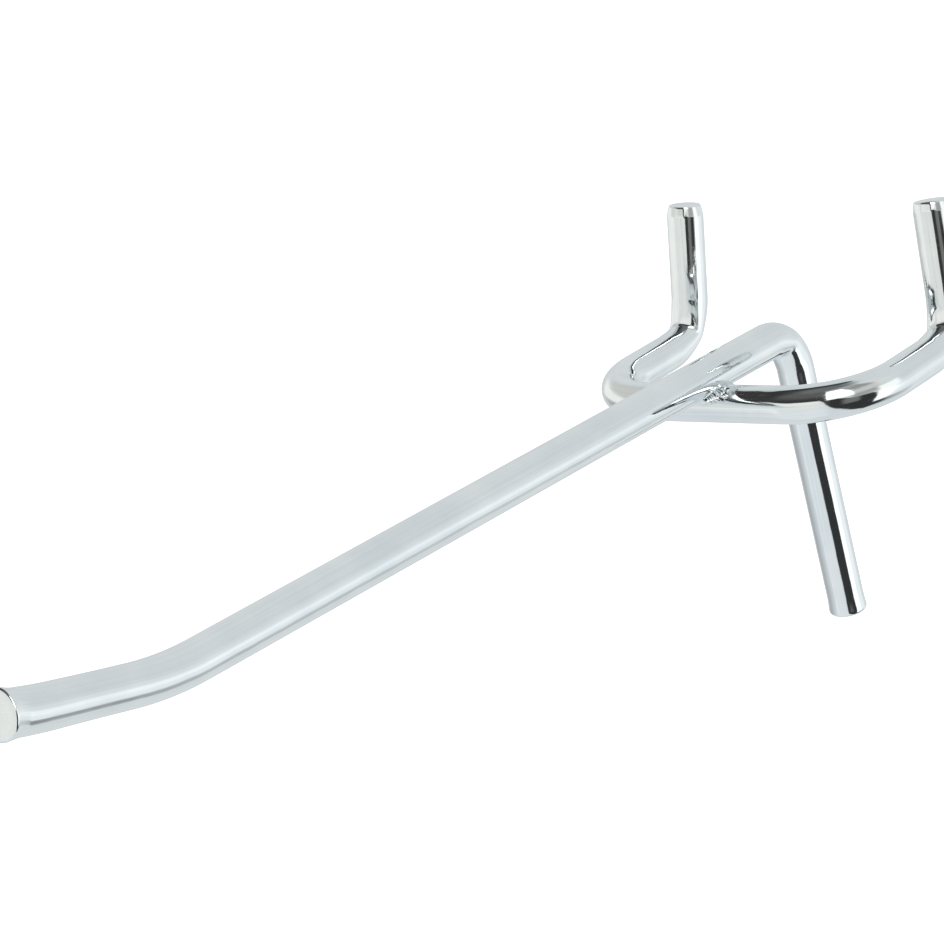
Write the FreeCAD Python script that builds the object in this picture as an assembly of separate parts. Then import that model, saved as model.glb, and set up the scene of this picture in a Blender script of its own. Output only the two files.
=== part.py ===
import FreeCAD, Part
import math
import os

from FreeCAD import Vector

# A pegboard hook of two bright-plated steel wires, welded where they cross.
# Millimetres and degrees. +Z is up, +Y goes into the board, and the arm reaches out along -Y.
# The origin lies midway between the feet of the two prongs.

# Wire
WIRE_D = 6.0               # both pieces are bent from the same round wire
END_CHAMFER = 0.5          # broken edge of each cut end

# Bow, the U that lies flat under the arm and ends in the two prongs
PRONG_SPACING = 50.0       # between the prongs' axes, two pitches of a 25 mm board
BOW_DEPTH = 29.6           # from the prongs' feet to the front of the U, between axes
BOW_CORNER_R = 13.0        # the U's two corners, on the wire's axis
PRONG_LENGTH = 22.5        # from the foot to the cut end, on the axis
PRONG_LEAN_BACK = 8.0      # the prongs lean away from the arm
PRONG_LEAN_IN = 3.7        # and a little towards each other
PRONG_BEND_R = 8.5         # the bend at a prong's foot, on the wire's axis

# Arm, with its leg at the back and its raised tip at the front
ARM_SETBACK = 7.8          # from the prongs' feet forward to the leg's top
ARM_RISE = 1.6             # the arm climbs this much towards its tip
ARM_LENGTH = 146.8         # from the rear corner to the tip's bend, on the axis
TIP_LENGTH = 29.2          # from the tip's bend to the cut end
TIP_TURN = 12.2            # the tip turns up by this much more than the arm
TIP_BEND_R = 60.0          # the tip's bend, on the wire's axis
LEG_LENGTH = 49.4          # from the rear corner down to the cut end
LEG_LEAN = 2.9             # the leg's foot stands back towards the board
LEG_BEND_R = 7.0           # the rear bend, on the wire's axis

# Weld
WELD_SINK = 1.1            # how far the arm is pressed into the bow
FLASH_D = 8.2              # rim of the lens of squeezed metal round the crossing
FLASH_THICKNESS = 3.0      # the lens at its middle


def bent_axis(points, bend_radii):
    """A wire's axis: straight runs between points, with a tangent arc at each inner point."""
    edges = []
    run_start = points[0]
    for before, corner, after, radius in zip(points, points[1:], points[2:], bend_radii):
        towards_before = (before - corner).normalize()
        towards_after = (after - corner).normalize()
        half_opening = towards_before.getAngle(towards_after) / 2
        tangent_length = radius / math.tan(half_opening)
        inward = (towards_before + towards_after).normalize()
        arc_start = corner + towards_before * tangent_length
        arc_middle = corner + inward * (radius / math.sin(half_opening) - radius)
        arc_end = corner + towards_after * tangent_length
        edges.append(Part.LineSegment(run_start, arc_start).toShape())
        edges.append(Part.Arc(arc_start, arc_middle, arc_end).toShape())
        run_start = arc_end
    edges.append(Part.LineSegment(run_start, points[-1]).toShape())
    return Part.Wire(edges)


def bent_wire(points, bend_radii):
    """Round wire along a bent axis, cut off square, with the edge of each end broken."""
    section = Part.Wire(Part.makeCircle(WIRE_D / 2, points[0], points[1] - points[0]))
    wire = bent_axis(points, bend_radii).makePipeShell([section], True, False)
    cut_edges = [
        edge
        for edge in wire.Edges
        if isinstance(edge.Curve, Part.Circle)
        and min(edge.Curve.Center.distanceToPoint(end) for end in (points[0], points[-1])) < END_CHAMFER
    ]
    return wire.makeChamfer(END_CHAMFER, cut_edges)


def arm_wire():
    """The arm in the centre plane: leg, rear bend, long arm and raised tip."""
    rise = math.radians(ARM_RISE)
    lift = math.radians(ARM_RISE + TIP_TURN)
    lean = math.radians(LEG_LEAN)
    weld_to_corner = BOW_DEPTH - ARM_SETBACK
    corner_height = WIRE_D - WELD_SINK - weld_to_corner * math.tan(rise)
    rear_corner = Vector(0, -ARM_SETBACK, corner_height)
    leg_end = rear_corner + Vector(0, math.sin(lean), -math.cos(lean)) * LEG_LENGTH
    tip_bend = rear_corner + Vector(0, -math.cos(rise), math.sin(rise)) * ARM_LENGTH
    tip_end = tip_bend + Vector(0, -math.cos(lift), math.sin(lift)) * TIP_LENGTH
    return bent_wire([leg_end, rear_corner, tip_bend, tip_end], [LEG_BEND_R, TIP_BEND_R])


def weld_flash():
    """The metal that the weld squeezed out: a lens of two shallow domes, halfway between the wires' axes."""
    half_thickness = FLASH_THICKNESS / 2
    dome_r = ((FLASH_D / 2) ** 2 + half_thickness ** 2) / FLASH_THICKNESS
    middle = Vector(0, -BOW_DEPTH, (WIRE_D - WELD_SINK) / 2)
    to_dome_centre = Vector(0, 0, dome_r - half_thickness)
    lower_dome = Part.makeSphere(dome_r, middle + to_dome_centre)
    upper_dome = Part.makeSphere(dome_r, middle - to_dome_centre)
    return lower_dome.common(upper_dome)


def prong_wire(arm):
    """The bow with its prongs and the weld's flash, hollowed where the arm is seated in it."""
    half = PRONG_SPACING / 2
    prong = Vector(
        math.tan(math.radians(PRONG_LEAN_IN)),
        math.tan(math.radians(PRONG_LEAN_BACK)),
        1,
    ).normalize() * PRONG_LENGTH
    left_foot = Vector(-half, 0, 0)
    left_half = [left_foot + prong, left_foot, Vector(-half, -BOW_DEPTH, 0)]
    right_half = [Vector(-point.x, point.y, point.z) for point in reversed(left_half)]
    bow = bent_wire(left_half + right_half, [PRONG_BEND_R, BOW_CORNER_R, BOW_CORNER_R, PRONG_BEND_R])
    return bow.fuse(weld_flash()).cut(arm).removeSplitter().Solids[0]


arm = arm_wire()
pieces = {
    "arm_wire": arm,
    "prong_wire": prong_wire(arm),
}

os.makedirs("parts", exist_ok=True)
for name, solid in pieces.items():
    solid.exportStep(f"parts/{name}.step")
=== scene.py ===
import bpy
import numpy as np
from mathutils import Matrix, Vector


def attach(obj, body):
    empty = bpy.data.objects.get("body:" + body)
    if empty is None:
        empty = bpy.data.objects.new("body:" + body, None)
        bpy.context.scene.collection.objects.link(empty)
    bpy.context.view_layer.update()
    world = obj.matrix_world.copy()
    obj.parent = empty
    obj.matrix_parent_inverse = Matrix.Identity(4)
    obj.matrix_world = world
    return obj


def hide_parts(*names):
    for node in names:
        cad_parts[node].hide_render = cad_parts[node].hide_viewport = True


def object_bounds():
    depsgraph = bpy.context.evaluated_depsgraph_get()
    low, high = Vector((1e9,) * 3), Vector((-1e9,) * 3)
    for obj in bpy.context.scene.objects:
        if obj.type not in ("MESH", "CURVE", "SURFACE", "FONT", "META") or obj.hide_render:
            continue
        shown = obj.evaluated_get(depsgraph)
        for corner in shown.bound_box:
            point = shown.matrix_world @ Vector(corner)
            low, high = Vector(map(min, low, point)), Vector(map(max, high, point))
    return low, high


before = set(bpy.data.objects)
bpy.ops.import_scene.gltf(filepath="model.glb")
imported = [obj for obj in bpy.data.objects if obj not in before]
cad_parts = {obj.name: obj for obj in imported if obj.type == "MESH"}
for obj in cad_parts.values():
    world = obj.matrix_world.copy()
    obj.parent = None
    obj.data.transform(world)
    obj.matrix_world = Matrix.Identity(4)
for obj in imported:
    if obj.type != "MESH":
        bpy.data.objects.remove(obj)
cad_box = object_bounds()

# The arm is one length of round steel wire, bent down into a leg at the back and a little up at the tip.
# A former's square edge creased the inside of the rear bend, and the shears left both cut ends flared.
# Lengths are in millimetres. The board stands at y = 0, and the arm reaches out along -y.
MM = 0.001
WIRE_R = 3.0
AROUND = 96
ARM_SETBACK = 7.8
ARM_HEIGHT = 4.9
ARM_LENGTH = 146.8
ARM_RISE = np.radians(1.6)
TIP_LENGTH = 28.95
TIP_LIFT = np.radians(13.8)
TIP_BEND_R = 60.0
LEG_LENGTH = 49.38
LEG_LEAN = np.radians(2.9)
LEG_BEND_R = 7.0
BOW_DEPTH = 29.6
LEG_END = (0.8, ((3.0, -0.2, 1.5),))                      # edge radius, then each taper
TIP_END = (0.45, ((18.0, -0.2, 1.4), (2.6, -0.42, 1.3)))
FINE_END = 4.0                                            # length of an end that gets short steps
TIP_KICK = 0.42                                           # the shears bent the last of the tip up
TIP_KICK_REACH = 9.0
LEG_CREASE = (4.6, 1.5, 0.75)                             # reach to the back and onward, rise


def unit(vector):
    """The vector divided by its own length."""
    return vector / np.linalg.norm(vector)


def bends_of(corners, radii):
    """A wire's bends and its whole length. Each bend is an arc tangent to the two runs that meet in a
    corner: it starts and ends radius / tan(half the opening) from the corner, and turns the wire by a
    half turn less the opening. Its hub lies radius / sin(half the opening) from the corner."""
    bends = []
    length = 0.0
    leave = corners[0]
    for before, corner, after, radius in zip(corners, corners[1:], corners[2:], radii):
        back = unit(before - corner)
        onward = unit(after - corner)
        half = np.arccos(back @ onward) / 2
        inward = unit(back + onward)
        start = corner + back * radius / np.tan(half)
        begin = length + np.linalg.norm(start - leave)
        turn = np.pi - 2 * half
        length = begin + radius * turn
        leave = corner + onward * radius / np.tan(half)
        bends.append(dict(corner=corner, back=back, onward=onward, half=half, inward=inward,
                          radius=radius, hub=corner + inward * radius / np.sin(half),
                          start=start, begin=begin, turn=turn, end=length))
    return bends, length + np.linalg.norm(corners[-1] - leave)


def axis_at(corners, bends, side, along):
    """Centre, direction and side vector of the axis at each length along it. Before the first bend the
    axis is a line. From each bend on, the spoke and the heading at its start turn about its axle by
    length / radius up to the bend's whole turn, and what is left of the length runs straight on."""
    heading = unit(corners[1] - corners[0])
    centre = corners[0] + np.outer(along, heading)
    direction = np.tile(heading, (along.size, 1))
    across = np.tile(side, (along.size, 1))
    for bend in bends:
        later = along >= bend["begin"]
        gone = along[later] - bend["begin"]
        turned = np.minimum(gone / bend["radius"], bend["turn"])[:, None]
        past = np.maximum(along[later] - bend["end"], 0)[:, None]
        heading = -bend["back"]
        spoke = (bend["start"] - bend["hub"]) / bend["radius"]
        axle = np.cross(spoke, heading)
        direction[later] = heading * np.cos(turned) - spoke * np.sin(turned)
        rim = (spoke * np.cos(turned) + heading * np.sin(turned)) * bend["radius"]
        centre[later] = bend["hub"] + rim + past * direction[later]
        upright = axle * (axle @ side)
        across[later] = upright + (side - upright) * np.cos(turned) + np.cross(axle, side) * np.sin(turned)
        side = upright + (side - upright) * np.cos(bend["turn"]) + np.cross(axle, side) * np.sin(bend["turn"])
    return centre, direction, across


def round_wire(corners, radii, side, ends, run_step=1.0, bend_step=0.16):
    """Rings of a round wire along a bent axis. The profile over the length is a square cut face at each
    end, a quarter circle round its edge, and the full radius less the end's tapers. An end gives the edge's
    radius and its tapers, each as reach, depth and power: the depth times (1 - distance from the end /
    reach) to that power, and a swelling where the depth is negative. A ring at angle a is
    centre + radius * (cos a * side + sin a * (direction x side)). Also gives each point's place on the
    wire as it was before bending: length along, and the two lengths across."""
    bends, length = bends_of(corners, radii)
    first, last = ends
    marks = [first[0], FINE_END] + [bend[key] for bend in bends for key in ("begin", "end")]
    marks += [length - FINE_END, length - last[0]]
    steps = [bend_step] + [run_step, bend_step] * len(bends) + [run_step, bend_step]
    spans = [np.linspace(a, b, int((b - a) / step) + 2)[1:] for a, b, step in zip(marks, marks[1:], steps)]
    quarter = np.linspace(0, np.pi / 2, 9)
    face = np.linspace(0, 1, 9)[:-1]
    along = np.concatenate([0 * face, first[0] * (1 - np.cos(quarter)), *spans,
                            length - last[0] * (1 - np.cos(quarter[::-1][1:])), length + 0 * face])
    taper = sum(depth * np.clip(1 - gap / reach, 0, 1) ** power
                for gap, (_, tapers) in ((along, first), (length - along, last))
                for reach, depth, power in tapers)
    edge = np.concatenate([first[0] * (1 - np.sin(quarter)), np.zeros(sum(span.size for span in spans)),
                           last[0] * (1 - np.sin(quarter[::-1][1:]))])
    radius = WIRE_R - taper
    radius[face.size:-face.size] -= edge
    radius[:face.size] = face * radius[face.size]
    radius[-face.size:] = face[::-1] * radius[-face.size - 1]
    centre, direction, across = axis_at(corners, bends, side, along)
    other = np.cross(direction, across)
    angle = np.arange(AROUND) * 2 * np.pi / AROUND
    flat = radius[:, None, None] * np.stack([np.cos(angle), np.sin(angle)], -1)
    rings = centre[:, None] + flat[..., :1] * across[:, None] + flat[..., 1:] * other[:, None]
    drawn = np.concatenate([np.broadcast_to(along[:, None, None], flat.shape[:2] + (1,)), flat], -1)
    return rings, drawn, bends


def pressed(points, bend, crease, softness=0.3):
    """A bend's inner side as the former's edge left it. Seen from the side, the wire lies between an outer
    and an inner outline, each two straight lines joined by an arc about the hub, given as depth over the
    distance from the bisector. The pressed inner outline is the two lines with a crease where they meet,
    raised there, with a rise that falls off along each run with the square of the distance. The crease's
    three lengths are its reach along the back run, its reach along the onward run and its rise.
    Each point keeps its share of the depth between the outlines."""
    away = points - bend["corner"]
    axle = unit(np.cross(bend["back"], bend["onward"]))
    depth = away @ bend["inward"]
    aside = away @ unit(bend["onward"] - bend["back"])
    sine, cosine = np.sin(bend["half"]), np.cos(bend["half"])
    outlines = []
    for offset in (-WIRE_R, WIRE_R):
        arc_r = bend["radius"] - offset
        arc = bend["radius"] / sine - np.sqrt(np.maximum(arc_r ** 2 - aside ** 2, 0))
        lines = (offset + np.abs(aside) * cosine) / sine
        outlines.append(np.where(np.abs(aside) < arc_r * cosine, arc, lines))
    outer, inner = outlines
    back_reach, onward_reach, rise = crease
    shifted = aside[..., None] + np.linspace(-softness, softness, 9)
    reach = np.where(shifted < 0, back_reach, onward_reach) * sine
    raised = rise * np.clip(1 - np.abs(shifted) / reach, 0, 1) ** 2
    creased = np.mean((WIRE_R + np.abs(shifted) * cosine) / sine + raised, axis=-1)
    pushed = np.maximum(inner - creased, 0) * (depth - outer) / (inner - outer)
    near = (np.abs(away @ axle) < 2 * WIRE_R) & (np.abs(aside) < bend["radius"])
    return points - np.where(near, pushed, 0)[..., None] * bend["inward"]


def closed_tube(name, rings, drawn):
    """A mesh of quads between neighbouring rings, closed round the tube, with a fan of triangles at the
    first and last ring, which are points. The place on the straight wire is kept as an attribute."""
    count, around = rings.shape[:2]
    points = np.concatenate([rings[:1, 0], rings[1:-1].reshape(-1, 3), rings[-1:, 0]])
    places = np.concatenate([drawn[:1, 0], drawn[1:-1].reshape(-1, 3), drawn[-1:, 0]])
    index = 1 + np.arange((count - 2) * around).reshape(count - 2, around)
    turned = np.roll(index, -1, axis=1)
    quads = np.stack([index[:-1], turned[:-1], turned[1:], index[1:]], -1).reshape(-1, 4)
    start_fan = np.stack([np.zeros(around, int), turned[0], index[0]], -1)
    end_fan = np.stack([np.full(around, len(points) - 1), index[-1], turned[-1]], -1)
    mesh = bpy.data.meshes.new(name)
    mesh.from_pydata((points * MM).tolist(), [], quads.tolist() + start_fan.tolist() + end_fan.tolist())
    mesh.polygons.foreach_set("use_smooth", np.ones(len(mesh.polygons), bool))
    attribute = mesh.attributes.new("drawn", "FLOAT_VECTOR", "POINT")
    attribute.data.foreach_set("vector", places.astype(np.float32).ravel())
    piece = bpy.data.objects.new(name, mesh)
    bpy.context.scene.collection.objects.link(piece)
    return piece


def linear(hex_colour):
    """An sRGB hex colour as linear red, green, blue and alpha."""
    srgb = np.array([int(hex_colour[i:i + 2], 16) for i in (1, 3, 5)]) / 255
    light = np.where(srgb <= 0.04045, srgb / 12.92, ((srgb + 0.055) / 1.055) ** 2.4)
    return (*light.tolist(), 1.0)


def add(tree, kind, settings, links=()):
    """Adds one shader node. A setting is a property of the node or the value of a named or numbered
    input, and a link is an input with the output that feeds it."""
    node = tree.nodes.new("ShaderNode" + kind)
    for key, value in settings.items():
        if isinstance(key, str) and hasattr(node, key):
            setattr(node, key, value)
        else:
            node.inputs[key].default_value = value
    for key, source in dict(links).items():
        tree.links.new(source, node.inputs[key])
    return node


def plated_wire():
    """Chromium plate on drawn steel wire. The plate is mirror bright and slightly blue. It follows the
    steel, so it shows the lines of the drawing die, a slow waviness and a faint peel. Real die lines
    would be too fine to show, so they are drawn coarser."""
    material = bpy.data.materials.new("bright_chromium_plate_on_drawn_steel_wire")
    material.use_nodes = True
    tree = material.node_tree
    tree.nodes.clear()
    die_line_mm, die_length_mm, peel_mm, wave_mm, tone_mm = 0.30, 45.0, 0.9, 5.0, 7.0
    die_line_depth_mm, peel_depth_mm, wave_depth_mm = 0.004, 0.003, 0.09
    place = add(tree, "Attribute", {"attribute_name": "drawn"}).outputs["Vector"]
    lines_at = add(tree, "Mapping", {"Scale": (1 / die_length_mm, 1 / die_line_mm, 1 / die_line_mm)},
                   {"Vector": place}).outputs["Vector"]
    lines = add(tree, "TexNoise", {"Scale": 1.0, "Detail": 3.0, "Roughness": 0.6}, {"Vector": lines_at})
    waves = add(tree, "TexNoise", {"Scale": 1 / wave_mm, "Detail": 1.0}, {"Vector": place})
    peel = add(tree, "TexNoise", {"Scale": 1 / peel_mm, "Detail": 2.0}, {"Vector": place})
    tones = add(tree, "TexNoise", {"Scale": 1 / tone_mm, "Detail": 4.0}, {"Vector": place})
    grain = add(tree, "Mix", {0: 0.5}, {2: tones.outputs["Fac"], 3: lines.outputs["Fac"]})
    colour = add(tree, "Mix", {"data_type": "RGBA", 6: linear("#c9d5dd"), 7: linear("#fbfbfa")},
                 {0: grain.outputs[0]})
    rough = add(tree, "MapRange", {"From Min": 0.3, "From Max": 0.75, "To Min": 0.05, "To Max": 0.11},
                {"Value": lines.outputs["Fac"]})
    wave_bump = add(tree, "Bump", {"Strength": 1.0, "Distance": wave_depth_mm * MM},
                    {"Height": waves.outputs["Fac"]})
    peel_bump = add(tree, "Bump", {"Strength": 1.0, "Distance": peel_depth_mm * MM},
                    {"Height": peel.outputs["Fac"], "Normal": wave_bump.outputs["Normal"]})
    line_bump = add(tree, "Bump", {"Strength": 1.0, "Distance": die_line_depth_mm * MM},
                    {"Height": lines.outputs["Fac"], "Normal": peel_bump.outputs["Normal"]})
    shader = add(tree, "BsdfPrincipled", {"Metallic": 1.0},
                 {"Base Color": colour.outputs[2], "Roughness": rough.outputs["Result"],
                  "Normal": line_bump.outputs["Normal"]})
    add(tree, "OutputMaterial", {}, {"Surface": shader.outputs["BSDF"]})
    return material


plate = plated_wire()
rear_corner = np.array([0, -ARM_SETBACK, ARM_HEIGHT - (BOW_DEPTH - ARM_SETBACK) * np.tan(ARM_RISE)])
leg_end = rear_corner + LEG_LENGTH * np.array([0, np.sin(LEG_LEAN), -np.cos(LEG_LEAN)])
tip_bend = rear_corner + ARM_LENGTH * np.array([0, -np.cos(ARM_RISE), np.sin(ARM_RISE)])
tip_end = tip_bend + TIP_LENGTH * np.array([0, -np.cos(TIP_LIFT), np.sin(TIP_LIFT)])
arm_rings, arm_drawn, arm_bends = round_wire(
    [leg_end, rear_corner, tip_bend, tip_end], [LEG_BEND_R, TIP_BEND_R],
    np.array([1.0, 0.0, 0.0]), (LEG_END, TIP_END))
arm_rings = pressed(arm_rings, arm_bends[0], LEG_CREASE)
from_tip = arm_drawn[..., 0].max() - arm_drawn[..., 0]
arm_rings[..., 2] += TIP_KICK * np.clip(1 - from_tip / TIP_KICK_REACH, 0, 1) ** 2
arm = closed_tube("arm_wire_plated", arm_rings, arm_drawn)
arm.data.materials.append(plate)
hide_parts("arm_wire")
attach(arm, "root")

# The bow is a second length of the same wire, bent into a flat U whose two ends stand up as the prongs.
# It passes under the arm and is welded to it there, with the arm sunk a little into its top.
# The bends at the prongs' feet were pressed tight over the former as the rear bend was.
PRONG_SPACING = 50.0
BOW_CORNER_R = 13.0
PRONG_LENGTH = 22.5
PRONG_LEAN_BACK = np.radians(8.0)
PRONG_LEAN_IN = np.radians(3.7)
PRONG_BEND_R = 8.5
LEFT_PRONG_END = (0.15, ((1.7, 0.385, 1.05),))
RIGHT_PRONG_END = (0.32, ((1.5, 0.24, 1.05),))
LEFT_CREASE = (3.0, 2.6, 0.42)
RIGHT_CREASE = (3.6, 6.5, 0.65)
SEAT_R = WIRE_R - 0.01     # a hair inside the arm, so that no gap shows


def seated(points, axis_point, axis_direction, radius):
    """Points that lie inside a round wire along a line are moved straight out from the line to its
    radius, so the wire's seat is hollowed into them."""
    across = points - axis_point
    across = across - (across @ axis_direction)[..., None] * axis_direction
    distance = np.linalg.norm(across, axis=-1, keepdims=True)
    return points + across / distance * np.maximum(radius - distance, 0)


half_spacing = PRONG_SPACING / 2
left_foot = np.array([-half_spacing, 0, 0])
prong = PRONG_LENGTH * unit(np.array([np.tan(PRONG_LEAN_IN), np.tan(PRONG_LEAN_BACK), 1]))
left_half = [left_foot + prong, left_foot, np.array([-half_spacing, -BOW_DEPTH, 0])]
right_half = [point * [-1, 1, 1] for point in reversed(left_half)]
prong_side = unit(np.cross(prong, [0.0, 1.0, 0.0]))
bow_rings, bow_drawn, bow_bends = round_wire(
    left_half + right_half, [PRONG_BEND_R, BOW_CORNER_R, BOW_CORNER_R, PRONG_BEND_R],
    prong_side, (LEFT_PRONG_END, RIGHT_PRONG_END), run_step=0.6, bend_step=0.2)
bow_rings = pressed(bow_rings, bow_bends[0], LEFT_CREASE)
right_foot_bend = dict(bow_bends[3], back=bow_bends[3]["onward"], onward=bow_bends[3]["back"])
bow_rings = pressed(bow_rings, right_foot_bend, RIGHT_CREASE)
arm_heading = unit(tip_bend - rear_corner)
bow_rings = seated(bow_rings, rear_corner, arm_heading, SEAT_R)
bow = closed_tube("prong_wire_plated", bow_rings, bow_drawn)
bow.data.materials.append(plate)
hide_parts("prong_wire")
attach(bow, "root")

# The weld's flash is the steel that was squeezed out between the two wires as they were pressed together.
# It froze as a crumpled lens round the crossing, fuller on the right, and was plated over with the rest.
FLASH_R = 3.8
FLASH_HALF_THICKNESS = 1.2
FLASH_OFFSET = np.array([0.9, -0.6, -0.45])
CRUMPLE = 0.5
FOLDS = ((2, 3), (3, 7), (5, 11), (7, 9), (11, 17), (16, 23))    # waves round the lens and over it
FOLD_SEED = 7
FOLD_SHIFT = 31                                                  # points between a fold out and a fold up
LOBES, LOBE_SHARE, LOBE_START = 3, 0.08, 0.7                     # the rim bulges a little three times


def crumpled_lens(rim_r, half_thickness, crumple, around=240, across=72):
    """A lens over the angle a and the share t of the way from the lower pole over the rim to the upper
    one: radius rim * sin(pi t) with three low lobes, height -half_thickness * cos(pi t). Folds run out
    from the poles: the mean of 1 - 2 |sin(n a + start + m t)| for seeded starts and strengths, strongest
    at the rim, is added to the radius and, turned a little, to the height."""
    draw = np.random.default_rng(FOLD_SEED)
    t = np.linspace(0, 1, across)[:, None]
    a = np.arange(around)[None] * 2 * np.pi / around
    folds = [draw.uniform(0.5, 1) * (1 - 2 * np.abs(np.sin(n * a + draw.uniform(0, 3.1) + m * t)))
             for n, m in FOLDS]
    rough = crumple * sum(folds) / len(folds) * np.sin(np.pi * t) ** 0.6
    radius = rim_r * np.sin(np.pi * t) * (1 + LOBE_SHARE * np.sin(LOBES * a + LOBE_START)) + rough
    height = -half_thickness * np.cos(np.pi * t) + np.roll(rough, FOLD_SHIFT, axis=1)
    return np.stack([radius * np.cos(a), radius * np.sin(a), height + 0 * a], -1)


crossing = np.array([0, -BOW_DEPTH, ARM_HEIGHT / 2])
flash_rings = crumpled_lens(FLASH_R, FLASH_HALF_THICKNESS, CRUMPLE) + crossing + FLASH_OFFSET
flash = closed_tube("weld_flash", flash_rings, flash_rings)
flash.data.materials.append(plate)
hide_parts("prong_wire")
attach(flash, "root")

# The floor is a wide pale sheet, low enough under the hook for its shadow to stay soft.
# It glows a little for the camera, so it is as white as the background. In the metal, the tent below
# stands in for it.
FLOOR_DROP = 0.075
FLOOR_HALF = 6.0
FLOOR_GLOW = 0.64
floor_z = cad_box[0].z - FLOOR_DROP
floor_corners = FLOOR_HALF * np.array([(-1, -1), (1, -1), (1, 1), (-1, 1)])
floor_mesh = bpy.data.meshes.new("floor")
floor_mesh.from_pydata([(x, y, floor_z) for x, y in floor_corners.tolist()], [], [(0, 1, 2, 3)])
floor = bpy.data.objects.new("floor", floor_mesh)
bpy.context.scene.collection.objects.link(floor)
floor_material = bpy.data.materials.new("matt_white_card")
floor_material.use_nodes = True
tree = floor_material.node_tree
tree.nodes.clear()
ray = add(tree, "LightPath", {})
own_light = add(tree, "Math", {"operation": "MULTIPLY", 1: FLOOR_GLOW}, {0: ray.outputs["Is Camera Ray"]})
card = add(tree, "BsdfPrincipled", {"Base Color": linear("#f2f2f2"), "Roughness": 0.9,
                                    "Emission Color": (1, 1, 1, 1)},
           {"Emission Strength": own_light.outputs["Value"]})
add(tree, "OutputMaterial", {}, {"Surface": card.outputs["BSDF"]})
floor.data.materials.append(floor_material)
floor.visible_glossy = False

# A tent of white cloth stands round the hook, lit from outside, so the metal mirrors an even white.
# The cloth is open above and through a slit in front, where the camera looks in from a dark room.
# A lamp shines through it on the upper right, and a white board stands below on the right.
TENT_R = 1.2
TENT_CENTRE = (0.0, -0.03, 0.0)
CLOTH = 0.81
DARK_ROOM = 0.05
DARK_SLIT = 0.06
SKYLIGHT = 0.22
BACK_CLOTH = 0.97
AWAY_AZIMUTH, AWAY_ELEVATION = -138, -17    # straight away from the camera
AWAY_CLOTH = 0.88
WARM_TINT = np.array([1.0, 1.0, 0.95])
LOW_TINT = np.array([0.965, 1.0, 1.01])
BACK_TINT = np.array([0.97, 1.0, 1.0])
# Each patch: share of the cloth's light, left, right, low and high side, softness of the sides in degrees.
CLOTH_PATCHES = (
    (1.10, -52, 30, -75, 8, 14),      # cloth low in front of the tip
    (1.22, -46, -27, -27, -3, 8),     # its brightest part
    (1.25, -150, -42, -8, 14, 8),     # cloth on the left, level with the hook
    (0.82, -150, -55, 18, 62, 14),    # shaded cloth above it
)
RIM_PATCHES = (
    (1.50, 93, 121, -6, 19, 8),       # upper part of the white board
    (1.20, -35, 24, 9, 23, 6),        # bright hem under the opening
)
LAMP_PATCHES = (
    (0.24, 50, 68, -18, 8, 8),        # grey edge of the slit
    (0.54, 60, 92, 6, 28, 10),        # cloth beside the lamp, in folds of
    (0.85, 62, 100, 24, 42, 10),      # three shades
    (0.45, 63, 104, 44, 72, 12),
    (1.70, 32, 64, 21, 67, 3),        # the lamp's halo on the cloth
    (6.00, 33, 63, 31, 66, 4),        # the lamp
)


def soft_step(distance, width):
    """0 below minus half the width, 1 above plus half of it, and a smooth rise between them."""
    share = np.clip(distance / width + 0.5, 0, 1)
    return share * share * (3 - 2 * share)


def over(behind, light, share):
    """One light laid over another: behind * (1 - share) + light * share."""
    return behind * (1 - share) + light * share


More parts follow.
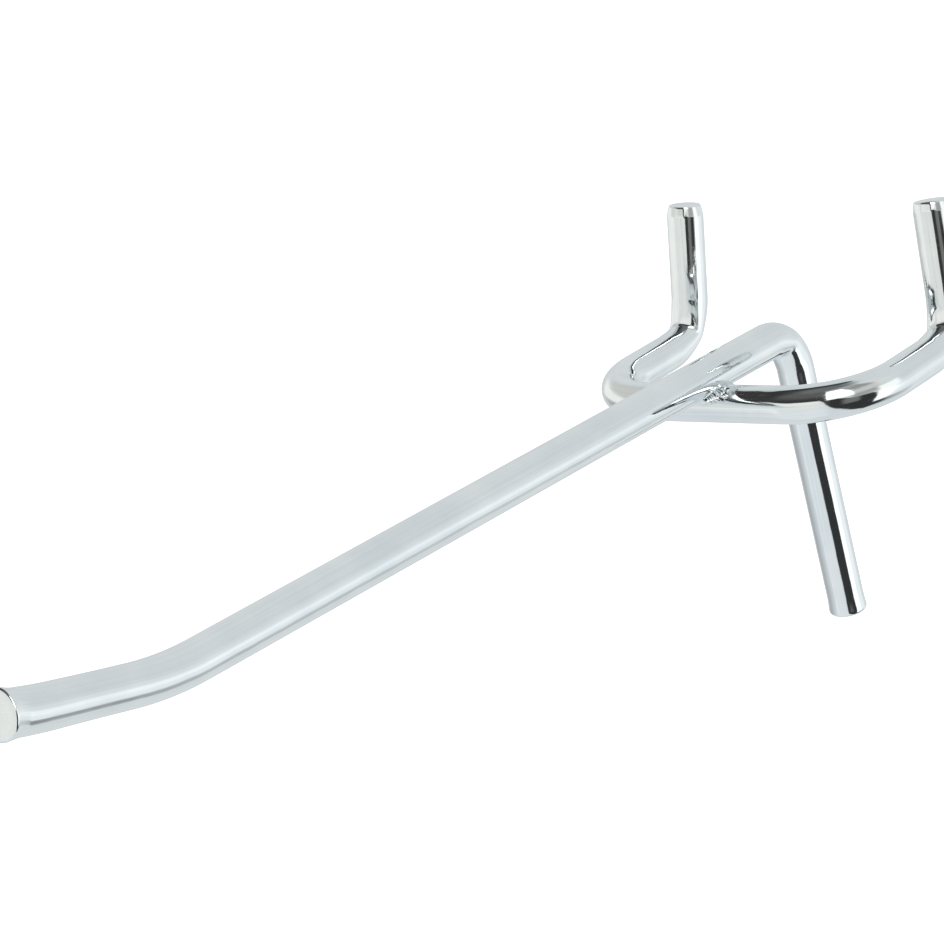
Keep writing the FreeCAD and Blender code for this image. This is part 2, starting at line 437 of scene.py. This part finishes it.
def tent_light(azimuth, elevation):
    """Red, green and blue light of the tent towards each direction, in degrees from the arm's direction
    round to the right and up from the horizon. The opening lies between two edges given over the azimuth,
    is paler high up, and narrows to a fading tail behind the arm. Each other patch has soft sides and is
    laid over what is behind it. Numbers below are degrees for places and for the softness of sides, and
    shares of the white cloth's light."""
    def along(places, values):
        return np.interp(azimuth, places, values)

    def patched(light, patches):
        for share, left, right, low, high, soft in patches:
            light = over(light, share, soft_step(azimuth - left, soft) * soft_step(right - azimuth, soft)
                         * soft_step(elevation - low, soft) * soft_step(high - elevation, soft))
        return light

    # The opening, from the open top down to the slit in front, and its tail
    lower = along([-180, -135, -100, -75, -60, -45, -38, 15, 24, 28, 31, 36, 42, 50, 60, 70, 80, 110],
                  [70, 56, 51, 52, 44, 29, 26, 26, 24, 14, -6, -24, -37, -45, -57, -63, -66, -70])
    upper = along([-180, 20, 27, 33, 42, 50, 58, 70, 84, 88, 91, 95, 110],
                  [95, 95, 80, 60, 24, 16, 9, 7, 3, -4, -36, -47, -46])
    upper_softness = along([60, 80, 90, 100], [3.0, 8.0, 6.0, 3.0])
    opening = (soft_step(elevation - lower, 3.0) * soft_step(upper - elevation, upper_softness)
               * soft_step(116 - azimuth, 16))
    haze = DARK_ROOM + 0.1 * soft_step(elevation - lower - 20, 30) * soft_step(34 - azimuth, 6)
    tail_at = along([100, 125, 138, 155, 172], [-57, -53, -48, -41, -38])
    tail_half = along([100, 138, 172], [12, 9, 5])
    tail_share = along([100, 108, 118, 128, 138, 155, 174], [0, 1, 0.85, 0.62, 0.42, 0.26, 0])
    tail = soft_step(tail_half - np.abs(elevation - tail_at), tail_half) * tail_share

    # The cloth on the left, with a dim band low down, and behind the hook
    dim_light = along([-135, -100, -85, -65, -50, -36], [1.0, 0.62, 0.62, 0.78, 0.93, 1.06])
    dim_band = (soft_step(elevation + 36, 14) * soft_step(-10 - elevation, 10)
                * soft_step(azimuth + 125, 20) * soft_step(-36 - azimuth, 6))
    light = over(patched(1.0 + 0 * azimuth, CLOTH_PATCHES), dim_light, dim_band)
    light = over(light, BACK_CLOTH, soft_step(np.abs(azimuth) - 125, 20) * soft_step(elevation - 4, 14))

    # The white board on the right, with a brighter strip across it
    board_light = along([91, 109, 118, 133, 146, 154, 170, 180],
                        [1.9, 1.85, 1.28, 1.18, 1.15, 1.15, 1.15, 1.1])
    board = (soft_step(azimuth - 91, 4) * soft_step(elevation + 45, 14)
             * soft_step(-2 - elevation, along([100, 130], [14, 40])))
    strip_light = along([96, 115, 121, 129, 150, 162, 176], [1.9, 1.85, 1.45, 1.34, 1.27, 1.05, 0.95])
    light = patched(over(light, board_light, board), [(strip_light, 96, 178, -25, -11, 8)])

    # The dark room through the opening, the skylight and the lamp
    light = over(patched(light, RIM_PATCHES), haze, opening)
    light = over(light, DARK_SLIT, tail)
    light = patched(over(light, SKYLIGHT, soft_step(elevation - 74, 14)), LAMP_PATCHES)

    # The cloth straight behind the hook, which its outlines mirror, is a little greyer. Then the tints
    turn = np.radians(azimuth - AWAY_AZIMUTH)
    height, away_height = np.radians(elevation), np.radians(AWAY_ELEVATION)
    cosine = np.sin(height) * np.sin(away_height) + np.cos(height) * np.cos(away_height) * np.cos(turn)
    light = over(light, AWAY_CLOTH, soft_step(28 - np.degrees(np.arccos(np.clip(cosine, -1, 1))), 16))
    low = soft_step(-15 - elevation, 10)[..., None]
    behind = soft_step(np.abs(azimuth) - 115, 30)[..., None]
    return CLOTH * light[..., None] * over(over(WARM_TINT, LOW_TINT, low), BACK_TINT, behind)


azimuth, elevation = np.meshgrid(np.arange(-180, 180, 1.0), np.linspace(-90, 90, 181))
turn, height = np.radians(azimuth), np.radians(elevation)
directions = np.stack([np.sin(turn) * np.cos(height), -np.cos(turn) * np.cos(height), np.sin(height)], -1)
tent = closed_tube("light_tent", (np.array(TENT_CENTRE) + TENT_R * directions) / MM,
                   tent_light(azimuth, elevation))
tent_material = bpy.data.materials.new("back_lit_white_cloth")
tent_material.use_nodes = True
tree = tent_material.node_tree
tree.nodes.clear()
glow = add(tree, "Emission", {"Strength": 1.0},
           {"Color": add(tree, "Attribute", {"attribute_name": "drawn"}).outputs["Vector"]})
add(tree, "OutputMaterial", {}, {"Surface": glow.outputs["Emission"]})
tent_material.cycles.emission_sampling = "NONE"
tent.data.materials.append(tent_material)
tent.visible_camera = False
tent.visible_diffuse = False
tent.visible_shadow = False

# The world is the white background of a studio. The camera sees it as plain white, and the floor takes
# a weaker, even fill from it.
BACKGROUND_LIGHT = 1.0
FILL_LIGHT = 0.45
world = bpy.data.worlds.new("white_studio")
bpy.context.scene.world = world
world.use_nodes = True
tree = world.node_tree
tree.nodes.clear()
ray = add(tree, "LightPath", {})
fill = add(tree, "MapRange", {"To Min": BACKGROUND_LIGHT, "To Max": FILL_LIGHT},
           {"Value": ray.outputs["Is Diffuse Ray"]})
sky = add(tree, "Background", {"Color": (1, 1, 1, 1)}, {"Strength": fill.outputs["Result"]})
add(tree, "OutputWorld", {}, {"Surface": sky.outputs["Background"]})

# One broad lamp with a soft front stands high on the right and lights the floor.
# The metal doesn't mirror it, because the tent already shows it there.
LAMP_WATTS = 14.0
LAMP_SIZE = 0.9
LAMP_PLACE = (0.65, -0.6, 1.1)
LAMP_TILT, LAMP_TURN = np.radians(38), np.radians(47)
lamp_data = bpy.data.lights.new("soft_lamp", "AREA")
lamp_data.energy = LAMP_WATTS
lamp_data.size = LAMP_SIZE
lamp = bpy.data.objects.new("soft_lamp", lamp_data)
lamp.location = LAMP_PLACE
lamp.rotation_euler = (LAMP_TILT, 0, LAMP_TURN)
lamp.visible_glossy = False
bpy.context.scene.collection.objects.link(lamp)

# The camera stands where the picture was taken from: to the right of the arm, a little above it,
# turned about its own axis so that the arm slopes down to the left.
IMAGE_PX = 944
SENSOR_MM = 36.0
NEAR_CLIP = 0.01
AZIMUTH = np.radians(41.7655)
ELEVATION = np.radians(17.2186)
ROLL = np.radians(-12.3612)
FOCAL_PX = 3409.85
PX_PER_MM = 6.2104
ORIGIN_PX = np.array([817.974, 340.157])
back = np.array([np.sin(AZIMUTH) * np.cos(ELEVATION), -np.cos(AZIMUTH) * np.cos(ELEVATION),
                 np.sin(ELEVATION)])
right = np.array([np.cos(AZIMUTH), np.sin(AZIMUTH), 0])
up = np.cross(back, right)
right, up = np.cos(ROLL) * right + np.sin(ROLL) * up, np.cos(ROLL) * up - np.sin(ROLL) * right
distance = FOCAL_PX / PX_PER_MM * MM
offset = (ORIGIN_PX - IMAGE_PX / 2) / FOCAL_PX * distance
camera_data = bpy.data.cameras.new("camera")
camera_data.sensor_width = SENSOR_MM
camera_data.lens = FOCAL_PX / IMAGE_PX * SENSOR_MM
camera_data.clip_start = NEAR_CLIP
camera = bpy.data.objects.new("camera", camera_data)
bpy.context.scene.collection.objects.link(camera)
pose = np.eye(4)
pose[:3, 0] = right
pose[:3, 1] = up
pose[:3, 2] = back
pose[:3, 3] = distance * back - offset[0] * right + offset[1] * up
camera.matrix_world = Matrix(pose.tolist())
bpy.context.scene.camera = camera
bpy.context.scene.view_settings.view_transform = "Standard"
